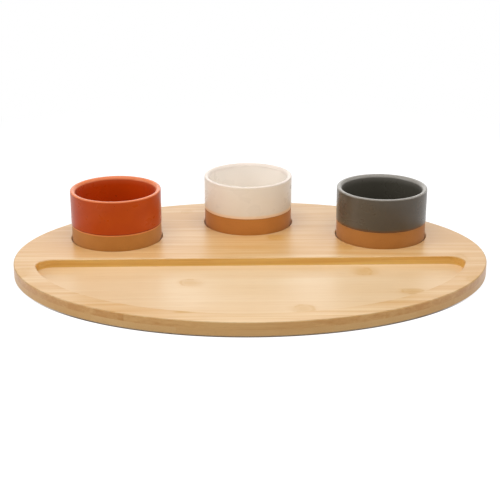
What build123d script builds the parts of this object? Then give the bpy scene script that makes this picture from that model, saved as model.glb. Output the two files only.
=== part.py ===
from build123d import *
import os
from math import cos, radians, sin

# Chip and dip server: an oval bamboo board with a half-moon chip pocket and three round wells,
# and a stoneware dip bowl that stands loose in each well.
# Millimetres. +X runs along the board and its staves, +Y to the back, +Z up.
# The origin is the middle of the board's underside.

# Board: two plies of edge-glued bamboo staves, whose joints are staggered by half a stave
board_length = 400.0
board_width = 290.0
ply_thickness = 6.0
staves_across = 12  # in the upper ply, half of them each side of the middle
edge_trim = 6.0  # what the oval's front and back lose of the glued-up upper ply
top_edge_round = 1.0
bottom_edge_round = 1.2
pocket_edge_chamfer = 0.6
sawing_allowance = 5.0  # how far the glued stock, and each cutter, stands past the finished board

# Pockets: the chip pocket and the wells are milled to one depth, just into the lower ply
pocket_depth = 7.0
chip_pocket_rim = 17.5  # wood between the chip pocket and the board's edge
chip_pocket_corner_radius = 13.0
well_rim = 16.5  # wood between a well and the board's edge
side_well_angle = 39.5  # degrees round the oval from +X to the edge beside a side well
bridge = 18.3  # wood between the side wells and the chip pocket
well_clearance = 0.7  # between a well's wall and the bare clay of its bowl, all round

# Dip bowls: bare clay sizes, and the glaze that coats all but the foot
bowl_diameter = 78.6
bowl_height = 50.8
bowl_wall = 3.9
bowl_floor = 5.0
bowl_inside_corner_radius = 6.0
lip_outer_radius = 0.75
lip_inner_radius = 2.5
foot_edge_radius = 1.2
foot_ring_width = 6.0
foot_ring_height = 1.0
bare_band_height = 21.6
glaze_thickness = 0.3

# Sizes that follow from the ones above
board_thickness = 2 * ply_thickness
stave_width = (board_width + 2 * edge_trim) / staves_across
pocket_floor = board_thickness - pocket_depth
bowl_radius = bowl_diameter / 2
bowl_inner_radius = bowl_radius - bowl_wall
well_radius = bowl_radius + well_clearance
stock_length = board_length + 2 * sawing_allowance
cutter_height = pocket_depth + sawing_allowance
from_corner = (Align.MIN, Align.MIN)


def well_centre(angle):
    """The middle of a well that leaves well_rim of wood inside the oval edge at this angle."""
    across = cos(radians(angle))
    back = sin(radians(angle))
    edge = Vector(board_length / 2 * across, board_width / 2 * back)
    outwards = Vector(board_width * across, board_length * back).normalized()
    return edge - outwards * (well_rim + well_radius)


bowl_places = {
    "orange": well_centre(180 - side_well_angle),
    "cream": well_centre(90),
    "grey": well_centre(side_well_angle),
}
chip_wall_y = bowl_places["grey"].Y - well_radius - bridge

os.makedirs("parts", exist_ok=True)


def save(piece, name):
    """Label a finished piece and write it under the same name."""
    piece.part.label = name
    export_step(piece.part, f"parts/{name}.step")


# The board as it leaves the mill: its staves are cut from this one shape
with BuildPart() as board:
    with BuildSketch():
        Ellipse(board_length / 2, board_width / 2)
    extrude(amount=board_thickness)
    fillet(board.edges().group_by(Axis.Z)[-1], top_edge_round)
    fillet(board.edges().group_by(Axis.Z)[0], bottom_edge_round)

    # Half-moon chip pocket: the oval less its rim, cut off straight in front of the wells
    with BuildSketch(Plane.XY.offset(pocket_floor)) as chip_pocket:
        Ellipse(board_length / 2 - chip_pocket_rim, board_width / 2 - chip_pocket_rim)
        with Locations((0, chip_wall_y)):
            Rectangle(board_length, board_width, align=(Align.CENTER, Align.MIN), mode=Mode.SUBTRACT)
        fillet(chip_pocket.vertices(), chip_pocket_corner_radius)
    extrude(amount=cutter_height, mode=Mode.SUBTRACT)

    # Wells, one for each bowl
    with BuildSketch(Plane.XY.offset(pocket_floor)):
        with Locations(*bowl_places.values()):
            Circle(well_radius)
    extrude(amount=cutter_height, mode=Mode.SUBTRACT)

    # The mouths of the pocket and the wells are eased all round
    chamfer(board.faces().sort_by(Axis.Z)[-1].inner_wires().edges(), pocket_edge_chamfer)


def cut_stave(name, front_edge, ply_bottom):
    """One stave of the milled board, which runs back from front_edge by its width."""
    with BuildPart() as stave:
        with BuildSketch(Plane.XY.offset(ply_bottom)):
            with Locations((0, front_edge)):
                Rectangle(stock_length, stave_width, align=(Align.CENTER, Align.MIN))
        extrude(amount=ply_thickness)
        add(board.part, mode=Mode.INTERSECT)
    save(stave, name)


def cut_ply(ply, ply_bottom, first_joint):
    """The staves of one ply on both sides of first_joint, numbered outwards to the edges."""
    for number in range(1, staves_across // 2 + 1):
        far_joint = first_joint + number * stave_width
        cut_stave(f"{ply}_back_stave_{number}", far_joint - stave_width, ply_bottom)
        cut_stave(f"{ply}_front_stave_{number}", -far_joint, ply_bottom)


cut_stave("lower_middle_stave", -stave_width / 2, 0)
cut_ply("lower", 0, stave_width / 2)
cut_ply("upper", ply_thickness, 0)


def bowl_section(skin):
    """Half the section of a bowl, from its axis out, with the glazed faces moved out by skin."""
    with BuildSketch() as section:
        Rectangle(bowl_radius + skin, bowl_height + skin, align=from_corner)
        with Locations((0, bowl_floor + skin)):
            Rectangle(bowl_inner_radius - skin, bowl_height, align=from_corner, mode=Mode.SUBTRACT)
        inside_corner = section.vertices().group_by(Axis.Y)[1].sort_by(Axis.X)[-1]
        fillet(inside_corner, bowl_inside_corner_radius - skin)
        fillet(section.vertices().group_by(Axis.Y)[-1].sort_by(Axis.X)[-1], lip_outer_radius + skin)
        fillet(section.vertices().group_by(Axis.Y)[-1].sort_by(Axis.X)[0], lip_inner_radius + skin)
    return section.sketch


def make_bowl(colour, place):
    """A thrown clay bowl and the coat of glaze fired onto it, standing on its well's floor."""
    foot = place + Vector(0, 0, pocket_floor)
    section_plane = Plane(origin=foot, x_dir=(1, 0, 0), z_dir=(0, -1, 0))
    turning_axis = Axis(foot, (0, 0, 1))

    with BuildPart() as clay:
        with BuildSketch(section_plane) as clay_section:
            add(bowl_section(0))
            foot_edge = clay_section.vertices().group_by(Axis.Y)[0].sort_by(Axis.X)[-1]
            fillet(foot_edge, foot_edge_radius)
            Rectangle(bowl_radius - foot_ring_width, foot_ring_height, align=from_corner, mode=Mode.SUBTRACT)
        revolve(axis=turning_axis)
    save(clay, f"{colour}_bowl_clay")

    with BuildPart() as glaze:
        with BuildSketch(section_plane):
            add(bowl_section(glaze_thickness))
            add(bowl_section(0), mode=Mode.SUBTRACT)
            with Locations((bowl_inner_radius, 0)):
                Rectangle(2 * bowl_wall, bare_band_height, align=from_corner, mode=Mode.SUBTRACT)
        revolve(axis=turning_axis)
    save(glaze, f"{colour}_bowl_glaze")


for colour, place in bowl_places.items():
    make_bowl(colour, place)
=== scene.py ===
from math import cos, radians, sin

import bmesh
import bpy
from mathutils import Matrix, Vector


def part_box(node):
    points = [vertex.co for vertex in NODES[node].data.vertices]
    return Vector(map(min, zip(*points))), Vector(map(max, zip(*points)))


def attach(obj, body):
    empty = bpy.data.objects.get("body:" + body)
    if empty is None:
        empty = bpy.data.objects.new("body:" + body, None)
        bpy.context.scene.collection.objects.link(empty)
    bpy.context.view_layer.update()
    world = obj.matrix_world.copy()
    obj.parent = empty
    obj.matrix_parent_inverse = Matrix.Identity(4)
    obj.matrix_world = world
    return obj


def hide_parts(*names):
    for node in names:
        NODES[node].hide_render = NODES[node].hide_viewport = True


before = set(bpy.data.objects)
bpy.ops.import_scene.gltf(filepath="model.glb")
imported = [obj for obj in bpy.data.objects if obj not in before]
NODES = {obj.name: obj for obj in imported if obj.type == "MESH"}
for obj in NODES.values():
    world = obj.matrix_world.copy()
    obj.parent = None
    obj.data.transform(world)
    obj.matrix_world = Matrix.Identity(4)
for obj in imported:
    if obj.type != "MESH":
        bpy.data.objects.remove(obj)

# Chip and dip server: an oval bamboo board, and three stoneware dip bowls that stand in its wells.
# Metres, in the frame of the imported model: +X along the staves, +Y to the back, +Z up.
# Values named ..._RAMP are where a smooth step starts and ends. Those named ..._GRAIN are how fast a
# noise changes along X, Y and Z, in cycles a metre. Those named ..._POLISH are how much a pattern
# roughens a surface, and how rough it is without it.

MM = 0.001
STAVES = sorted(name for name in NODES if "stave" in name)
BOWLS = ("orange", "cream", "grey")

bpy.context.view_layer.update()
HALF_LENGTH = max(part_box(name)[1].x for name in STAVES)
HALF_WIDTH = max(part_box(name)[1].y for name in STAVES)
OVER_THE_OVAL = (1 / HALF_LENGTH, 1 / HALF_WIDTH, 0.0)
LEVEL_ONLY = (1.0, 1.0, 0.0)  # drops the height

clay_boxes = {colour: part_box(f"{colour}_bowl_clay") for colour in BOWLS}
clay_low, clay_high = clay_boxes["orange"]
GLAZE_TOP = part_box("orange_bowl_glaze")[1].z
RADIUS = (clay_high.x - clay_low.x) / 2
HEIGHT = clay_high.z - clay_low.z
COAT = GLAZE_TOP - clay_high.z


# ---------------------------------------------------------------- colours and node helpers

def paint(red, green, blue):
    """A colour given in 0-255 as it looks on a screen, as the linear colour that a socket takes."""
    shares = [channel / 255 for channel in (red, green, blue)]
    linear = [share / 12.92 if share <= 0.04045 else ((share + 0.055) / 1.055) ** 2.4 for share in shares]
    return (*linear, 1.0)


def add(tree, kind, sockets=None, **settings):
    """A node with its settings made, and each named socket linked or given its value."""
    made = tree.nodes.new(kind)
    for name, value in settings.items():
        setattr(made, name, value)
    for name, value in (sockets or {}).items():
        socket = made.inputs[name]
        if isinstance(value, bpy.types.NodeSocket):
            tree.links.new(value, socket)
        else:
            socket.default_value = value
    return made


def sums(tree, operation, first, second=0.0, third=0.0):
    """The result of one Math node."""
    return add(tree, "ShaderNodeMath", {0: first, 1: second, 2: third}, operation=operation).outputs[0]


def times(tree, first, second):
    """One number times another."""
    return sums(tree, "MULTIPLY", first, second)


def total(tree, first, *others):
    """The numbers added together."""
    for other in others:
        first = sums(tree, "ADD", first, other)
    return first


def vectors(tree, operation, first, second):
    """The vector that one Vector Math node gives."""
    return add(tree, "ShaderNodeVectorMath", {0: first, 1: second}, operation=operation).outputs[0]


def length_of(tree, vector):
    """How long a vector is."""
    return add(tree, "ShaderNodeVectorMath", {0: vector}, operation="LENGTH").outputs["Value"]


def split(tree, vector):
    """The three numbers of a vector."""
    return add(tree, "ShaderNodeSeparateXYZ", {0: vector}).outputs


def joined(tree, x=0.0, y=0.0, z=0.0):
    """The vector made of three numbers."""
    return add(tree, "ShaderNodeCombineXYZ", {0: x, 1: y, 2: z}).outputs[0]


def object_place(tree):
    """The place on the piece, in metres."""
    return add(tree, "ShaderNodeTexCoord").outputs["Object"]


def between(tree, share, low, high, blend="MIX"):
    """A colour that goes from low to high as share goes from 0 to 1."""
    sockets = {0: share, 6: low, 7: high}
    made = add(tree, "ShaderNodeMix", sockets, data_type="RGBA", blend_type=blend, clamp_factor=True)
    return made.outputs[2]


def ramp(tree, value, start, end):
    """0 below start, 1 above end, and smooth in between; start may be the higher of the two."""
    sockets = {0: value, 1: start, 2: end, 3: 0.0, 4: 1.0}
    return add(tree, "ShaderNodeMapRange", sockets, interpolation_type="SMOOTHSTEP").outputs[0]


def streaks(tree, place, grain, detail=1.0, roughness=0.5):
    """Noise stretched by a different amount along each axis."""
    return add(tree, "ShaderNodeTexNoise", {
        "Vector": vectors(tree, "MULTIPLY", place, grain),
        "Scale": 1.0,
        "Detail": detail,
        "Roughness": roughness,
    }).outputs[0]


def swing(tree, value, reach):
    """Moves a 0-1 value to lie about 0, and reach to each side of it."""
    return sums(tree, "MULTIPLY_ADD", value, 2 * reach, -reach)


def new_material(name, roughness=0.5):
    """(material, its tree, its Principled shader); the roughness holds unless a pattern is linked to it."""
    material = bpy.data.materials.new(name)
    material.use_nodes = True
    tree = material.node_tree
    shader = tree.nodes["Principled BSDF"]
    shader.inputs["Roughness"].default_value = roughness
    return material, tree, shader


def bump(tree, shader, height, depth):
    """Relief on the shader, with height as a share of depth."""
    made = add(tree, "ShaderNodeBump", {"Strength": 1.0, "Distance": depth, "Height": height})
    tree.links.new(made.outputs[0], shader.inputs["Normal"])


# ---------------------------------------------------------------- bamboo

# The layers of a stave's figure: grain, detail, roughness, and how far the layer moves the figure.
# Strands run the whole length of a stave, and fibres are hair-fine.
FIGURE_LAYERS = {
    "strands": ((4, 120, 120), 3.0, 0.6, 0.75),
    "lines": ((7, 420, 420), 2.0, 0.6, 0.5),
    "blotches": ((9, 34, 34), 2.0, 0.5, 0.35),
    "fibres": ((18, 1150, 1150), 2.0, 0.6, 0.3),
}
# each stave reads the noise this much further on, along, across and through, so that no two match
STAVE_STEP = 1.37
STAVE_SHIFT = (0.731, 0.117, 1.0)
# stepping on by the first and starting again at the second spreads the staves over 0 to 1
SPREAD_STEP = 137.5
SPREAD_TURN = 97

# bundles are the fibres' dark cut ends
BUNDLE_GRAIN = (55, 3000, 3000)
BUNDLE_RAMP = (0.58, 0.74)
BUNDLE_SHARE = 0.2
FIBRE_BUNDLE = paint(166, 118, 66)

# the board's ends have taken up more oil
OILED_RAMP = (100 * MM, 180 * MM)
END_OIL = 0.28

# a knuckle is a soft smudge with a thin broken arc of brown round it, in shares of its reach
KNUCKLE_EDGE_GRAIN = (60, 70, 70)
KNUCKLE_RAGGEDNESS = 0.55
SMUDGE_RAMP = (1.6, 0.2)
SMUDGE_SHARE = 0.55
ARC_INNER_RAMP = (0.62, 0.85)
ARC_OUTER_RAMP = (1.12, 0.88)
ARC_SHARE = 0.35
ARC_BREAK_GRAIN = (150, 60, 60)
ARC_BREAK_RAMP = (0.42, 0.6)
KNUCKLE_BROWN = paint(192, 136, 0)

# a face counts from 0, upright, to 1, level; the arris of the outer edge lies in between
UPRIGHT_RAMP = (0.75, 0.25)
ARRIS_TOP_RAMP = (0.998, 0.9)
ARRIS_WALL_RAMP = (0.35, 0.65)
OUTER_EDGE_RAMP = (0.955, 0.975)  # as a share of the way from the middle of the oval to its outline
# the arris of the outer edge is multiplied by this: painted shade where its rounding turns from the top to
# the side
PAINTED_ARRIS_SHADE = paint(230, 228, 222)
MILLED_TINT = paint(255, 244, 178)
SAWN_TINT = paint(251, 229, 185)

BAMBOO_POLISH = (0.22, 0.38)
FIBRE_RELIEF = 0.7
BUNDLE_RELIEF = -0.3
BAMBOO_RELIEF = 0.05 * MM
LACQUER_ROUGHNESS = 0.36

# each ply's pale and honey colour, how strongly its figure shows, and how much lacquer it carries
UPPER_PLY = (paint(226, 192, 144), paint(209, 161, 97), 1.5, 0.8)
LOWER_PLY = (paint(231, 204, 167), paint(217, 177, 124), 0.45, 0.55)

# how honey-coloured each stave is, from 0 to 1, where it differs from the rest
TONES = {
    "upper_front_stave_1": 0.5,
    "upper_front_stave_2": 0.46,
    "upper_front_stave_3": 0.64,
    "upper_front_stave_4": 0.46,
    "upper_front_stave_5": 0.62,
    "upper_front_stave_6": 0.34,
    "upper_back_stave_1": 0.64,
    "upper_back_stave_2": 0.68,
    "upper_back_stave_3": 0.65,
    "upper_back_stave_4": 0.67,
    "upper_back_stave_5": 0.74,
    "upper_back_stave_6": 0.84,
    "lower_front_stave_1": 0.44,
    "lower_front_stave_2": 0.32,
    "lower_front_stave_3": 0.38,
    "lower_front_stave_4": 0.46,
    "lower_front_stave_5": 0.3,
    "lower_front_stave_6": 0.5,
}
PLAIN_TONE = 0.36
TONE_SPREAD = 0.24

# where a stave's knuckle lies in millimetres, its reach along and across, and how strongly it shows
KNUCKLES = {
    "upper_front_stave_5": ((-54, -123), (8, 3), 1.4),
    "upper_back_stave_1": ((80, 14), (8, 6), 0.5),
    "upper_back_stave_2": ((24, 43), (8, 7), 0.8),
    "upper_back_stave_5": ((-57, 116), (6, 6), 0.6),
    "lower_front_stave_1": ((95, -24), (10, 9), 0.75),
    "lower_front_stave_2": ((-49, -47), (9, 8), 0.7),
    "lower_front_stave_3": ((129, -70), (9, 7), 0.7),
    "lower_front_stave_4": ((38, -103), (9, 8), 0.65),
}
# any other stave has its knuckle near one end, up to this many millimetres from the middle
PLAIN_KNUCKLE_ALONG = 195
PLAIN_KNUCKLE_SPREAD = 20
PLAIN_KNUCKLE_REACH = (7, 10)
PLAIN_KNUCKLE_MARK = 0.6

# the unlacquered walls of the wells, painted darker brown: partly raw end grain, partly painted shade in the
# narrow gap round each bowl
RAW_ROUGHNESS = 0.8
RAW_GLOSS = 0.15
RAW_END_GRAIN = (500, 1500, 1500)
RAW_PLY_GRAIN = (25, 90, 260)
RAW_END_REACH = 0.5
RAW_RELIEF = 0.08 * MM
# these browns are partly the raw end grain and partly painted shade in the gap round each bowl
RAW_SHADED_PALE = paint(140, 94, 42)
RAW_SHADED_BROWN = paint(100, 62, 22)
# a well's wall stands this close to the middle of its bowl, and faces up or down by no more than this
WELL_CENTRES = [((low + high) / 2).xy for low, high in clay_boxes.values()]
WELL_REACH = RADIUS + 1.5 * MM
WALL_LEVEL = 0.5

# faces that meet at less than this angle are shaded as one curve, and corners this close are one
SOFT_ARRIS = radians(28)
WELD = 0.001 * MM
FLAT_FACE_WEIGHT = 100

GRAIN_INPUTS = {
    "Stave": "NodeSocketFloat",
    "Tone": "NodeSocketFloat",
    "Figure": "NodeSocketFloat",
    "Knuckle": "NodeSocketVector",
    "Reach": "NodeSocketVector",
    "Mark": "NodeSocketFloat",
    "Pale": "NodeSocketColor",
    "Honey": "NodeSocketColor",
}
GRAIN_OUTPUTS = {
    "Colour": "NodeSocketColor",
    "Polish": "NodeSocketFloat",
    "Relief": "NodeSocketFloat",
}


def knuckle_share(group, place, own, given):
    """How much knuckle shows: the smudge and the broken arc round it."""
    reached = vectors(group, "DIVIDE", vectors(group, "SUBTRACT", place, given["Knuckle"]), given["Reach"])
    out = length_of(group, vectors(group, "MULTIPLY", reached, LEVEL_ONLY))
    edge = streaks(group, own, KNUCKLE_EDGE_GRAIN, detail=2.0)
    out = total(group, out, swing(group, edge, KNUCKLE_RAGGEDNESS))
    smudge = times(group, ramp(group, out, *SMUDGE_RAMP), SMUDGE_SHARE)
    arc = times(group, ramp(group, out, *ARC_INNER_RAMP), ramp(group, out, *ARC_OUTER_RAMP))
    arc = times(group, arc, ramp(group, streaks(group, own, ARC_BREAK_GRAIN), *ARC_BREAK_RAMP))
    return times(group, total(group, smudge, times(group, arc, ARC_SHARE)), given["Mark"])


def cut_faces(group, place, wood):
    """The wood with its upright faces golden in the pocket, browner round the outer edge, and painted shade
    on the arris of the outer edge.
    """
    normal = add(group, "ShaderNodeNewGeometry").outputs["Normal"]
    level = sums(group, "ABSOLUTE", split(group, normal)[2])
    out_along = length_of(group, vectors(group, "MULTIPLY", place, OVER_THE_OVAL))
    outer_edge = ramp(group, out_along, *OUTER_EDGE_RAMP)
    cut = between(group, outer_edge, MILLED_TINT, SAWN_TINT)
    wood = between(group, ramp(group, level, *UPRIGHT_RAMP), wood, cut, "MULTIPLY")
    # painted shade on the rounded arris of the outer edge
    arris = times(group, ramp(group, level, *ARRIS_TOP_RAMP), ramp(group, level, *ARRIS_WALL_RAMP))
    return between(group, times(group, arris, outer_edge), wood, PAINTED_ARRIS_SHADE, "MULTIPLY")


def bamboo_grain():
    """The figure of one stave: strands, fibres, blotches, a knuckle, darker faces where it is cut, and
    painted shade on the arris of the outer edge.
    """
    group = bpy.data.node_groups.new("bamboo grain", "ShaderNodeTree")
    for name, kind in GRAIN_INPUTS.items():
        group.interface.new_socket(name, in_out="INPUT", socket_type=kind)
    for name, kind in GRAIN_OUTPUTS.items():
        group.interface.new_socket(name, in_out="OUTPUT", socket_type=kind)
    given = group.nodes.new("NodeGroupInput").outputs
    place = object_place(group)
    own = vectors(group, "ADD", place, vectors(group, "MULTIPLY", given["Stave"], STAVE_SHIFT))

    layers = {}
    moves = []
    for name, (grain, detail, roughness, reach) in FIGURE_LAYERS.items():
        layers[name] = streaks(group, own, grain, detail, roughness)
        moves.append(swing(group, layers[name], reach))
    oiled = ramp(group, sums(group, "ABSOLUTE", split(group, place)[0]), *OILED_RAMP)
    share = sums(group, "MULTIPLY_ADD", total(group, *moves), given["Figure"], given["Tone"])
    share = sums(group, "MULTIPLY_ADD", oiled, END_OIL, share)
    wood = between(group, share, given["Pale"], given["Honey"])
    bundles = ramp(group, streaks(group, own, BUNDLE_GRAIN), *BUNDLE_RAMP)
    wood = between(group, times(group, bundles, BUNDLE_SHARE), wood, FIBRE_BUNDLE)
    wood = between(group, knuckle_share(group, place, own, given), wood, KNUCKLE_BROWN)
    wood = cut_faces(group, place, wood)

    ends = group.nodes.new("NodeGroupOutput").inputs
    group.links.new(wood, ends["Colour"])
    group.links.new(sums(group, "MULTIPLY_ADD", layers["fibres"], *BAMBOO_POLISH), ends["Polish"])
    raised = times(group, layers["fibres"], FIBRE_RELIEF)
    group.links.new(total(group, raised, times(group, bundles, BUNDLE_RELIEF)), ends["Relief"])
    return group


def bamboo(stave_name, number):
    """The finish of one stave: sanded bamboo under a satin lacquer."""
    material, tree, shader = new_material(f"bamboo {stave_name.replace('_', ' ')}")
    pale, honey, figure, lacquer = UPPER_PLY if stave_name.startswith("upper") else LOWER_PLY
    shader.inputs["Coat Weight"].default_value = lacquer
    shader.inputs["Coat Roughness"].default_value = LACQUER_ROUGHNESS
    spread = number * SPREAD_STEP % SPREAD_TURN / SPREAD_TURN
    low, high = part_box(stave_name)
    far_end = (PLAIN_KNUCKLE_ALONG - PLAIN_KNUCKLE_SPREAD * spread) * (1 if number % 2 else -1)
    plain = ((far_end, (low.y + high.y) / 2 / MM), PLAIN_KNUCKLE_REACH, PLAIN_KNUCKLE_MARK)
    (along, across), (length, width), mark = KNUCKLES.get(stave_name, plain)
    values = {
        "Stave": number * STAVE_STEP,
        "Tone": TONES.get(stave_name, PLAIN_TONE + TONE_SPREAD * spread),
        "Figure": figure,
        "Knuckle": (along * MM, across * MM, 0.0),
        "Reach": (length * MM, width * MM, 1.0),
        "Mark": mark,
        "Pale": pale,
        "Honey": honey,
    }
    grain = add(tree, "ShaderNodeGroup", node_tree=GRAIN)
    for name, value in values.items():
        grain.inputs[name].default_value = value
    tree.links.new(grain.outputs["Colour"], shader.inputs["Base Color"])
    tree.links.new(grain.outputs["Polish"], shader.inputs["Roughness"])
    bump(tree, shader, grain.outputs["Relief"], BAMBOO_RELIEF)
    return material


def raw_bamboo_with_painted_shade():
    """The unlacquered walls of the wells: browner, partly as raw end grain and partly as painted shade in
    the gap round each bowl, with the cut ends of the fibres showing.
    """
    material, tree, shader = new_material("raw bamboo of the well walls, painted in shade", RAW_ROUGHNESS)
    shader.inputs["Specular IOR Level"].default_value = RAW_GLOSS
    place = object_place(tree)
    ends = streaks(tree, place, RAW_END_GRAIN, detail=2.0)
    plies = streaks(tree, place, RAW_PLY_GRAIN, detail=2.0)
    share = total(tree, swing(tree, ends, RAW_END_REACH), plies)
    tree.links.new(between(tree, share, RAW_SHADED_PALE, RAW_SHADED_BROWN), shader.inputs["Base Color"])
    bump(tree, shader, ends, RAW_RELIEF)
    return material


def on_a_well_wall(face):
    """Whether a face of the board stands upright round one of the bowls."""
    if abs(face.normal.z) > WALL_LEVEL:
        return False
    middle = face.calc_center_median()
    return any((middle.xy - centre).length < WELL_REACH for centre in WELL_CENTRES)


def forget_cad_normals(mesh):
    """Drops the flat normals that come with the CAD mesh."""
    if "custom_normal" in mesh.attributes:
        mesh.attributes.remove(mesh.attributes["custom_normal"])


def sanded_stave(node, material):
    """A stave with its milled curves smooth and its arrises crisp, in place of its CAD node."""
    piece = bpy.data.objects.new(f"{node.name}_sanded", node.data.copy())
    bpy.context.scene.collection.objects.link(piece)
    shape = bmesh.new()
    shape.from_mesh(piece.data)
    bmesh.ops.remove_doubles(shape, verts=shape.verts, dist=WELD)
    for face in shape.faces:
        face.smooth = True
        face.material_index = 1 if on_a_well_wall(face) else 0
    for edge in shape.edges:
        edge.smooth = len(edge.link_faces) == 2 and edge.calc_face_angle() < SOFT_ARRIS
    forget_cad_normals(piece.data)
    shape.to_mesh(piece.data)
    shape.free()
    forget_cad_normals(piece.data)
    piece.data.materials.clear()
    piece.data.materials.append(material)
    piece.data.materials.append(WELL_WALL)
    flatten = piece.modifiers.new("keep flat faces flat", "WEIGHTED_NORMAL")
    flatten.weight = FLAT_FACE_WEIGHT
    flatten.keep_sharp = True
    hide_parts(node.name)
    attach(piece, "board")


GRAIN = bamboo_grain()
WELL_WALL = raw_bamboo_with_painted_shade()
for number, name in enumerate(STAVES):
    sanded_stave(NODES[name], bamboo(name, number))


# ---------------------------------------------------------------- clay and glazes

BOWL_WALL = 3.9 * MM
BORE = RADIUS - BOWL_WALL

CLAY_ROUGHNESS = 0.6
CLAY_BLOOM = 0.15
CLAY_CLOUD_GRAIN = (60, 60, 90)
GROG_GRAIN = (1700, 1700, 1700)
WHEEL_RING_GRAIN = (12, 12, 900)
DARK_GROG_RAMP = (0.62, 0.78)
DARK_GROG_SHARE = 0.5
DARK_GROG = paint(112, 66, 26)
PALE_GROG_RAMP = (0.36, 0.24)
PALE_GROG_SHARE = 0.3
PALE_GROG = paint(206, 152, 92)
# a line just under the glaze, from this far below its lower edge: lighter on the orange and grey bowls, and
# darker on the cream bowl, where it is a painted shadow of the glaze's edge
UNDER_GLAZE_LINE_START = 1.5 * MM
UNDER_GLAZE_LINE_END = 0.7 * MM
UNDER_GLAZE_LINE_SHARE = 0.8
RING_RELIEF = 0.6
GROG_RELIEF = 0.4
CLAY_RELIEF = 0.08 * MM

GLAZE_BLOOM = 0.05
GLAZE_CLOUD_GRAIN = (55, 55, 80)
GLAZE_DRIFT_GRAIN = (16, 16, 22)
DRIFT_REACH = 0.4
MOTTLE_SHIFT = -0.1
BORE_RAMP = (BORE + 2.2 * MM, BORE + 0.6 * MM)
INSIDE_SHARE = 0.8
# how far the edges of the pale lip and of the lower edge's colour wander up and down
RAGGEDNESS = 0.5 * MM
# where the lip turns pale, below the rim: outside, inside, and where the painted light on the upper inside
# wall fades into the bowl
OUTER_LIP = (1.4 * MM, 0.2 * MM)
INNER_LIP = (3.6 * MM, 1.0 * MM)
PAINTED_INSIDE_LIGHT_FADE = (8.0 * MM, 1.5 * MM)
CREST_SHARE = 0.9
OUTSIDE_RAMP = (RADIUS - 1.5 * MM, RADIUS - 0.5 * MM)
# the lower edge's colour is at its fullest up to this share of its depth
LOWER_EDGE_FULL = 0.3
LOWER_EDGE_SHARE = 0.7
SPECK_GRAIN = (620, 620, 620)
SPECK_RAMP = (0.735, 0.80)
GLAZE_POLISH = (0.14, 0.22)
RIPPLE_GRAIN = (260, 260, 260)
RIPPLE_RELIEF = 0.5
CLOUD_RELIEF = 0.5
GLAZE_RELIEF = 0.07 * MM


def bare_clay(name, clay_colour, shade, under_glaze_line, hem):
    """Unglazed stoneware: matte, with fine grog and faint wheel rings, and a line just under the glaze:
    lighter on the orange and grey bowls, and darker on the cream one as a painted shadow of the glaze's
    edge.
    """
    material, tree, shader = new_material(name, CLAY_ROUGHNESS)
    shader.inputs["Sheen Weight"].default_value = CLAY_BLOOM
    place = object_place(tree)
    height = split(tree, place)[2]
    cloud = streaks(tree, place, CLAY_CLOUD_GRAIN, detail=3.0)
    grog = streaks(tree, place, GROG_GRAIN, detail=2.0)
    rings = streaks(tree, place, WHEEL_RING_GRAIN, detail=2.0)
    body = between(tree, cloud, clay_colour, shade)
    body = between(tree, times(tree, ramp(tree, grog, *DARK_GROG_RAMP), DARK_GROG_SHARE), body, DARK_GROG)
    body = between(tree, times(tree, ramp(tree, grog, *PALE_GROG_RAMP), PALE_GROG_SHARE), body, PALE_GROG)
    # the line under the glaze; on the cream bowl it is a painted shadow of the glaze's edge
    line = times(tree, ramp(tree, height, hem - UNDER_GLAZE_LINE_START, hem - UNDER_GLAZE_LINE_END), UNDER_GLAZE_LINE_SHARE)
    tree.links.new(between(tree, line, body, under_glaze_line), shader.inputs["Base Color"])
    relief = total(tree, times(tree, rings, RING_RELIEF), times(tree, grog, GROG_RELIEF))
    bump(tree, shader, relief, CLAY_RELIEF)
    return material


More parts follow.
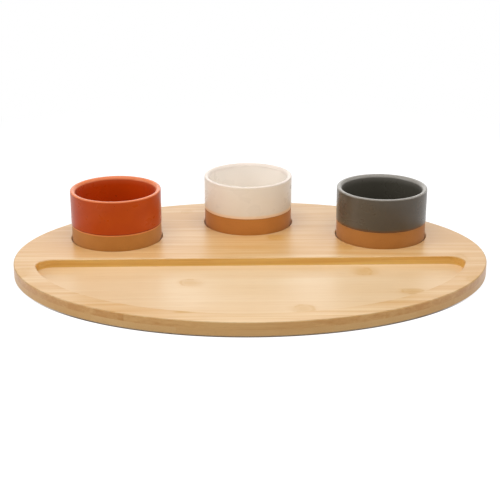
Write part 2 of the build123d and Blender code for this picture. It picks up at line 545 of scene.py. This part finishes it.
def glaze(name, hem, axis, body, deep, inside, pale_lip_and_highlight, inside_light_reach, lower_edge_colour, lower_edge_depth, speck, specks, shine):
    """A satin dip glaze: it mottles, gathers specks, is pale on the lip partly where it breaks thin and
    partly as a painted highlight, carries painted light down the upper inside wall and painted light and
    shade in its inside colour, and turns darker near its lower edge on the orange and grey bowls and tan on
    the cream one.
    """
    material, tree, shader = new_material(name)
    shader.inputs["Specular IOR Level"].default_value = shine
    shader.inputs["Sheen Weight"].default_value = GLAZE_BLOOM
    place = object_place(tree)
    height = split(tree, place)[2]
    out = length_of(tree, vectors(tree, "MULTIPLY", vectors(tree, "SUBTRACT", place, axis), LEVEL_ONLY))
    cloud = streaks(tree, place, GLAZE_CLOUD_GRAIN, detail=4.0)
    drift = streaks(tree, place, GLAZE_DRIFT_GRAIN)
    mottle = total(tree, cloud, swing(tree, drift, DRIFT_REACH), MOTTLE_SHIFT)
    coat = between(tree, mottle, body, deep)
    # inside the bore the glaze takes its inside colour: painted light and shade, paler in the cream bowl and
    # deeper in the orange and grey bowls
    in_bore = ramp(tree, out, *BORE_RAMP)
    coat = between(tree, times(tree, in_bore, INSIDE_SHARE), coat, inside)

    # the lip is pale, partly where the glaze breaks thin and partly as a painted highlight, and inside the
    # bowl painted light fades slowly down the wall
    ragged = total(tree, height, swing(tree, cloud, RAGGEDNESS))
    outer_lip, inner_lip, painted_inside_light = (
        ramp(tree, ragged, GLAZE_TOP - start, GLAZE_TOP - end)
        for start, end in (OUTER_LIP, INNER_LIP, PAINTED_INSIDE_LIGHT_FADE)
    )
    on_lip = sums(tree, "MAXIMUM", outer_lip, times(tree, inner_lip, in_bore))
    painted_inside_light = times(tree, times(tree, painted_inside_light, inside_light_reach), in_bore)
    coat = between(tree, sums(tree, "MAXIMUM", times(tree, on_lip, CREST_SHARE), painted_inside_light), coat, pale_lip_and_highlight)

    # near its lower edge the glaze turns darker on the orange and grey bowls, and tan on the cream one
    near_hem = ramp(tree, ragged, hem + lower_edge_depth, hem + LOWER_EDGE_FULL * lower_edge_depth)
    near_lower_edge = times(tree, near_hem, ramp(tree, out, *OUTSIDE_RAMP))
    coat = between(tree, times(tree, near_lower_edge, LOWER_EDGE_SHARE), coat, lower_edge_colour)
    grains = ramp(tree, streaks(tree, place, SPECK_GRAIN), *SPECK_RAMP)
    coat = between(tree, times(tree, grains, specks), coat, speck)
    tree.links.new(coat, shader.inputs["Base Color"])
    tree.links.new(sums(tree, "MULTIPLY_ADD", cloud, *GLAZE_POLISH), shader.inputs["Roughness"])
    ripple = streaks(tree, place, RIPPLE_GRAIN)
    relief = total(tree, times(tree, ripple, RIPPLE_RELIEF), times(tree, cloud, CLOUD_RELIEF))
    bump(tree, shader, relief, GLAZE_RELIEF)
    return material


# ---------------------------------------------------------------- bowls, turned from their sections

BOWL_FLOOR = 5.0 * MM
INSIDE_CORNER = 6.0 * MM
LIP_OUTSIDE = 0.75 * MM
LIP_INSIDE = 2.5 * MM
FOOT_EDGE = 1.2 * MM
FOOT_RING_WIDTH = 6.0 * MM
FOOT_RING_HEIGHT = 1.0 * MM
BARE_BAND = 21.6 * MM
HEM_CORNER = 0.25 * MM
RING_CORNER = 0.3 * MM
WOBBLE = 0.16 * MM
WOBBLE_SCALE = 32.0
GLAZE_LINE_WANDER = 0.22 * MM
GLAZE_LINE_SCALE = 85.0
STEPS_ROUND = 192
STEPS_IN_A_CORNER = 8
CUTS_BETWEEN_CORNERS = 2
TURNED_WELD = 0.002 * MM
NOISE_MIDDLE = (0.5, 0.5, 0.5)

# a section's points: (radius, height, corner radius, share of the hem)
CLAY_SECTION = [
    (0, FOOT_RING_HEIGHT, 0, 0),
    (RADIUS - FOOT_RING_WIDTH, FOOT_RING_HEIGHT, RING_CORNER, 0),
    (RADIUS - FOOT_RING_WIDTH, 0, RING_CORNER, 0),
    (RADIUS, 0, FOOT_EDGE, 0),
    (RADIUS, HEIGHT, LIP_OUTSIDE, 0),
    (BORE, HEIGHT, LIP_INSIDE, 0),
    (BORE, BOWL_FLOOR, INSIDE_CORNER, 0),
    (0, BOWL_FLOOR, 0, 0),
]

# each bowl's own bare band, since each was dipped by hand, and its colours
BANDS = {"orange": BARE_BAND - 0.5 * MM, "cream": BARE_BAND + 0.05 * MM, "grey": BARE_BAND - 0.25 * MM}
# the cream bowl's clay colours are lighter than the others': painted light that makes up for the shade it
# stands in at the back of the board
CLAYS = {
    "orange": {
        "clay_colour": paint(194, 128, 53),
        "shade": paint(176, 110, 38),
        "under_glaze_line": paint(240, 150, 84),
    },
    "cream": {
        "clay_colour": paint(206, 134, 58),
        "shade": paint(188, 115, 42),
        "under_glaze_line": paint(190, 126, 56),
    },
    "grey": {
        "clay_colour": paint(184, 121, 52),
        "shade": paint(166, 104, 37),
        "under_glaze_line": paint(178, 116, 52),
    },
}
# a glaze's inside colour is painted light and shade, its pale lip is partly a painted highlight, and its
# inside light reach is how far painted light runs down the upper inside wall
GLAZES = {
    "orange": {
        "body": paint(192, 76, 3),
        "deep": paint(177, 58, 0),
        "inside": paint(190, 60, 2),
        "pale_lip_and_highlight": paint(227, 134, 88),
        "inside_light_reach": 0.2,
        "lower_edge_colour": paint(122, 34, 0),
        "lower_edge_depth": 1.2 * MM,
        "speck": paint(70, 24, 8),
        "specks": 0.75,
        "shine": 0.24,
    },
    "cream": {
        "body": paint(244, 233, 217),
        "deep": paint(240, 227, 208),
        "inside": paint(246, 238, 229),
        "pale_lip_and_highlight": paint(226, 211, 198),
        "inside_light_reach": 0.0,
        "lower_edge_colour": paint(252, 210, 159),
        "lower_edge_depth": 3.6 * MM,
        "speck": paint(168, 146, 124),
        "specks": 0.05,
        "shine": 0.35,
    },
    "grey": {
        "body": paint(88, 79, 66),
        "deep": paint(74, 66, 55),
        "inside": paint(71, 69, 61),
        "pale_lip_and_highlight": paint(154, 149, 141),
        "inside_light_reach": 0.32,
        "lower_edge_colour": paint(108, 66, 20),
        "lower_edge_depth": 2.6 * MM,
        "speck": paint(42, 36, 30),
        "specks": 0.6,
        "shine": 0.5,
    },
}

# the wheel's inputs, each with the setting that every bowl shares, or None where it is a bowl's own
WHEEL_INPUTS = {
    "Section": ("NodeSocketGeometry", None),
    "Place": ("NodeSocketVector", None),
    "Wheel radius": ("NodeSocketFloat", RADIUS),
    "Steps round": ("NodeSocketInt", STEPS_ROUND),
    "Steps in a corner": ("NodeSocketInt", STEPS_IN_A_CORNER),
    "Cuts between corners": ("NodeSocketInt", CUTS_BETWEEN_CORNERS),
    "Wobble": ("NodeSocketFloat", WOBBLE),
    "Glaze line wander": ("NodeSocketFloat", GLAZE_LINE_WANDER),
    "Seed": ("NodeSocketInt", None),
    "Finish": ("NodeSocketMaterial", None),
}


def wheel_step(tree, kind, sockets, **settings):
    """The first result of one Geometry Nodes node."""
    return add(tree, f"GeometryNode{kind}", sockets, **settings).outputs[0]


def marked(tree, attribute):
    """The number that a section's points carry under this name."""
    return wheel_step(tree, "InputNamedAttribute", {"Name": attribute}, data_type="FLOAT")


def turning_tree():
    """Turns a section round the bowl's axis: rounded corners, a slight wobble and a wandering glaze line."""
    tree = bpy.data.node_groups.new("turn on the wheel", "GeometryNodeTree")
    tree.is_modifier = True
    sockets = {}
    for name, (kind, shared) in WHEEL_INPUTS.items():
        made = tree.interface.new_socket(name, in_out="INPUT", socket_type=kind)
        if shared is not None:
            made.default_value = shared
        sockets[name] = made.identifier
    tree.interface.new_socket("Turned piece", in_out="OUTPUT", socket_type="NodeSocketGeometry")
    given = tree.nodes.new("NodeGroupInput").outputs

    # the section is drawn from the axis outwards, and is turned about a ring of the wheel's radius;
    # the ring lays a section's +Y downwards, so heights are drawn as -Y
    outline = wheel_step(tree, "MeshToCurve", {"Mesh": given["Section"]})
    outline = wheel_step(tree, "FilletCurve", {
        "Curve": outline,
        "Count": given["Steps in a corner"],
        "Radius": marked(tree, "corner_radius"),
        "Limit Radius": True,
    }, mode="POLY")
    outline = wheel_step(tree, "SubdivideCurve", {"Curve": outline, "Cuts": given["Cuts between corners"]})
    inwards = joined(tree, x=times(tree, given["Wheel radius"], -1.0))
    outline = wheel_step(tree, "SetPosition", {"Geometry": outline, "Offset": inwards})
    ring = wheel_step(tree, "CurvePrimitiveCircle", {
        "Resolution": given["Steps round"],
        "Radius": given["Wheel radius"],
    }, mode="RADIUS")
    turned = wheel_step(tree, "CurveToMesh", {"Curve": ring, "Profile Curve": outline})
    turned = wheel_step(tree, "MergeByDistance", {"Geometry": turned, "Distance": TURNED_WELD})
    turned = wheel_step(tree, "SetPosition", {"Geometry": turned, "Offset": given["Place"]})

    # the wobble is level, so that the bowl keeps its height
    place = tree.nodes.new("GeometryNodeInputPosition").outputs[0]
    where = vectors(tree, "ADD", place, joined(tree, z=given["Seed"]))
    slow = add(tree, "ShaderNodeTexNoise", {"Vector": where, "Scale": WOBBLE_SCALE, "Detail": 1.0})
    slow = vectors(tree, "SUBTRACT", slow.outputs["Color"], NOISE_MIDDLE)
    wobble = vectors(tree, "MULTIPLY", slow, joined(tree, x=given["Wobble"], y=given["Wobble"]))
    quick = add(tree, "ShaderNodeTexNoise", {"Vector": where, "Scale": GLAZE_LINE_SCALE, "Detail": 2.0})
    rise = times(tree, swing(tree, quick.outputs[0], 1.0), given["Glaze line wander"])
    rise = joined(tree, z=times(tree, rise, marked(tree, "hem")))
    moved = vectors(tree, "ADD", wobble, rise)
    turned = wheel_step(tree, "SetPosition", {"Geometry": turned, "Offset": moved})

    turned = wheel_step(tree, "SetShadeSmooth", {"Geometry": turned, "Shade Smooth": True})
    turned = wheel_step(tree, "RealizeInstances", {"Geometry": turned})
    turned = wheel_step(tree, "SetMaterial", {"Geometry": turned, "Material": given["Finish"]})
    tree.links.new(turned, tree.nodes.new("NodeGroupOutput").inputs[0])
    return tree, sockets


def glaze_section(band):
    """The coat's section: the bowl's inside, its rim, and its wall down to the bare band."""
    return [
        (0, BOWL_FLOOR + COAT, 0, 0),
        (BORE - COAT, BOWL_FLOOR + COAT, INSIDE_CORNER - COAT, 0),
        (BORE - COAT, HEIGHT + COAT, LIP_INSIDE + COAT, 0),
        (RADIUS + COAT, HEIGHT + COAT, LIP_OUTSIDE + COAT, 0),
        (RADIUS + COAT, band, HEM_CORNER, 1),
        (RADIUS, band, 0, 1),
        (RADIUS, HEIGHT, LIP_OUTSIDE, 0),
        (BORE, HEIGHT, LIP_INSIDE, 0),
        (BORE, BOWL_FLOOR, INSIDE_CORNER, 0),
        (0, BOWL_FLOOR, 0, 0),
    ]


def turn(name, section, settings):
    """A plain mesh turned from a section of points."""
    drawn = bpy.data.meshes.new(f"{name}_section")
    points = [(radius, -height, 0) for radius, height, _, _ in section]
    drawn.from_pydata(points, [(step, step + 1) for step in range(len(points) - 1)], [])
    for attribute, column in (("corner_radius", 2), ("hem", 3)):
        made = drawn.attributes.new(attribute, "FLOAT", "POINT")
        made.data.foreach_set("value", [point[column] for point in section])
    piece = bpy.data.objects.new(name, drawn)
    bpy.context.scene.collection.objects.link(piece)
    wheel = piece.modifiers.new("wheel", "NODES")
    wheel.node_group = WHEEL
    for setting, value in settings.items():
        wheel[WHEEL_SOCKETS[setting]] = value
    bpy.context.view_layer.update()
    evaluated = piece.evaluated_get(bpy.context.evaluated_depsgraph_get())
    turned = bpy.data.meshes.new_from_object(evaluated)
    piece.modifiers.remove(wheel)
    piece.data = turned
    turned.name = name
    shape = bmesh.new()
    shape.from_mesh(turned)
    bmesh.ops.recalc_face_normals(shape, faces=shape.faces)
    shape.to_mesh(turned)
    shape.free()
    return piece


WHEEL, WHEEL_SOCKETS = turning_tree()
for seed, colour in enumerate(BOWLS):
    body = f"{colour}_bowl"
    low, high = clay_boxes[colour]
    foot = ((low.x + high.x) / 2, (low.y + high.y) / 2, low.z)
    band = BANDS[colour]
    hem = low.z + band
    clay_finish = bare_clay(f"bare stoneware of the {colour} bowl", hem=hem, **CLAYS[colour])
    glaze_finish = glaze(f"{colour} glaze", hem=hem, axis=foot, **GLAZES[colour])
    own = {"Place": foot, "Seed": seed}
    clay = turn(f"{body}_stoneware", CLAY_SECTION, {**own, "Finish": clay_finish})
    coat = turn(f"{body}_glaze_coat", glaze_section(band), {**own, "Finish": glaze_finish})
    for piece, part, slot in ((clay, "clay", "bare_clay"), (coat, "glaze", f"{colour}_glaze")):
        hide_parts(f"{body}_{part}")
        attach(piece, body)


# ---------------------------------------------------------------- studio

WHITE = (1, 1, 1, 1)
SOFT_LIGHT = 0.25
# reflections find a lit wall low down at the sides and the back, and the rest of the room this dark
LIT_WALL_RAMP = (-0.85, -0.45)
LOW_DOWN_RAMP = (0.62, 0.3)
DARK_ROOM = 0.15
MIRRORED_WALL = (0.8, 0.8, 0.8, 1)

PAPER_REACH = 4.0
PAPER_GAP = 0.05 * MM
PAPER_ROUGHNESS = 0.9
PAPER = (0.25, 0.25, 0.25, 1)
SHADED_PAPER = paint(88, 70, 52)
PAPER_GLOW = 0.86
FRONTWARDS_RAMP = (-60 * MM, -110 * MM)
UNDER_EDGE_RAMP = (1.005, 0.999)
FAR_OFF_RAMP = (0.32, 0.6)  # metres from the middle, beyond which the paper is plain white

# each softbox: place, what it points at, width, depth, watts, and whether it shows in a gloss
SOFTBOXES = {
    "overhead softbox": ((0.0, -0.12, 1.3), (0, 0, 0), 1.5, 1.1, 14.5, False),
    "left softbox": ((-1.3, -0.2, 0.7), (0, 0, 0.02), 0.7, 0.9, 6.0, True),
    "right softbox": ((1.3, -0.2, 0.7), (0, 0, 0.02), 0.7, 0.9, 3.6, True),
    "front softbox": ((-0.15, -1.2, 0.65), (0, 0, 0.02), 1.2, 0.7, 4.4, False),
    "back softbox": ((0.0, 1.4, 0.43), (0, 0, 0.02), 1.15, 0.45, 1.9, True),
}

CAMERA_AZIMUTH = radians(-1.495)
CAMERA_ELEVATION = radians(20.181)
CAMERA_ROLL = radians(0.005)
CAMERA_DISTANCE = 1.0908
CAMERA_AIM = Vector((0.00065, 0.04331, 0))
CAMERA_LENS = 88.38
SENSOR_WIDTH = 36


def seen_by(tree, *rays):
    """1 for the named kinds of ray and 0 for any other."""
    path = add(tree, "ShaderNodeLightPath").outputs
    share = path[rays[0]]
    for ray in rays[1:]:
        share = sums(tree, "MAXIMUM", share, path[ray])
    return share


def mixed(tree, share, low, high):
    """A shader that goes from low to high as share goes from 0 to 1."""
    return add(tree, "ShaderNodeMixShader", {0: share, 1: low, 2: high}).outputs[0]


def studio_walls():
    """White all round to the camera; reflections also find the dark of the room, in front and above."""
    world = bpy.data.worlds.new("studio")
    bpy.context.scene.world = world
    world.use_nodes = True
    tree = world.node_tree
    soft_light = tree.nodes["Background"]
    soft_light.inputs["Color"].default_value = WHITE
    soft_light.inputs["Strength"].default_value = SOFT_LIGHT
    towards = split(tree, add(tree, "ShaderNodeTexCoord").outputs["Generated"])
    lit_wall = times(tree, ramp(tree, towards[1], *LIT_WALL_RAMP), ramp(tree, towards[2], *LOW_DOWN_RAMP))
    strength = sums(tree, "MULTIPLY_ADD", lit_wall, 1 - DARK_ROOM, DARK_ROOM)
    mirrored = add(tree, "ShaderNodeBackground", {"Color": MIRRORED_WALL, "Strength": strength})
    white = add(tree, "ShaderNodeBackground", {"Color": WHITE, "Strength": 1.0})
    glossy = seen_by(tree, "Is Glossy Ray", "Is Transmission Ray")
    lit = mixed(tree, glossy, soft_light.outputs[0], mirrored.outputs[0])
    walls = mixed(tree, seen_by(tree, "Is Camera Ray"), lit, white.outputs[0])
    tree.links.new(walls, tree.nodes["World Output"].inputs["Surface"])


def paper_sweep():
    """The white paper under the board: it takes the board's shadow, and is plain white further out."""
    drawn = bpy.data.meshes.new("paper_sweep")
    corners = [(across * PAPER_REACH, along * PAPER_REACH, -PAPER_GAP)
               for across, along in ((-1, -1), (1, -1), (1, 1), (-1, 1))]
    drawn.from_pydata(corners, [], [(0, 1, 2, 3)])
    sweep = bpy.data.objects.new("paper_sweep", drawn)
    bpy.context.scene.collection.objects.link(sweep)
    material, tree, shader = new_material("white paper", PAPER_ROUGHNESS)
    shader.inputs["Specular IOR Level"].default_value = 0.0
    place = object_place(tree)
    camera_ray = seen_by(tree, "Is Camera Ray")

    # the paper just under the board's front edge is in its own deeper shade
    beyond = length_of(tree, vectors(tree, "MULTIPLY", place, OVER_THE_OVAL))
    frontwards = ramp(tree, split(tree, place)[1], *FRONTWARDS_RAMP)
    under_edge = times(tree, ramp(tree, beyond, *UNDER_EDGE_RAMP), frontwards)
    tree.links.new(between(tree, under_edge, PAPER, SHADED_PAPER), shader.inputs["Base Color"])
    open_paper = sums(tree, "SUBTRACT", 1.0, under_edge)
    glowing = times(tree, times(tree, camera_ray, open_paper), PAPER_GLOW)
    glow = add(tree, "ShaderNodeEmission", {"Strength": glowing})
    lit = add(tree, "ShaderNodeAddShader", {0: shader.outputs[0], 1: glow.outputs[0]})

    white = add(tree, "ShaderNodeEmission", {"Strength": 1.0})
    far_off = times(tree, camera_ray, ramp(tree, length_of(tree, place), *FAR_OFF_RAMP))
    plain = sums(tree, "MAXIMUM", far_off, seen_by(tree, "Is Glossy Ray", "Is Transmission Ray"))
    paper = mixed(tree, plain, lit.outputs[0], white.outputs[0])
    tree.links.new(paper, tree.nodes["Material Output"].inputs["Surface"])
    drawn.materials.append(material)


def softbox(name, place, aim, width, depth, watts, gleams):
    """A soft lamp at place that points at aim; one that doesn't gleam leaves no reflection of itself."""
    lamp = bpy.data.lights.new(name, "AREA")
    lamp.shape = "RECTANGLE"
    lamp.size = width
    lamp.size_y = depth
    lamp.energy = watts
    lamp_object = bpy.data.objects.new(name, lamp)
    bpy.context.scene.collection.objects.link(lamp_object)
    lamp_object.location = place
    lamp_object.visible_glossy = gleams
    lamp_object.rotation_euler = (Vector(aim) - Vector(place)).to_track_quat("-Z", "Y").to_euler()


def set_up_camera():
    """A long lens in front of the board and a little above it."""
    camera_data = bpy.data.cameras.new("camera")
    camera_data.lens = CAMERA_LENS
    camera_data.sensor_width = SENSOR_WIDTH
    camera = bpy.data.objects.new("camera", camera_data)
    bpy.context.scene.collection.objects.link(camera)
    back = Vector((
        sin(CAMERA_AZIMUTH) * cos(CAMERA_ELEVATION),
        -cos(CAMERA_AZIMUTH) * cos(CAMERA_ELEVATION),
        sin(CAMERA_ELEVATION),
    ))
    right = Vector((0, 0, 1)).cross(back).normalized()
    facing = Matrix((right, back.cross(right), back)).transposed() @ Matrix.Rotation(CAMERA_ROLL, 3, "Z")
    camera.matrix_world = Matrix.Translation(CAMERA_AIM + back * CAMERA_DISTANCE) @ facing.to_4x4()
    bpy.context.scene.camera = camera


studio_walls()
paper_sweep()
for name, settings in SOFTBOXES.items():
    softbox(name, *settings)
set_up_camera()
bpy.context.scene.view_settings.view_transform = "Standard"

bpy.context.view_layer.update()
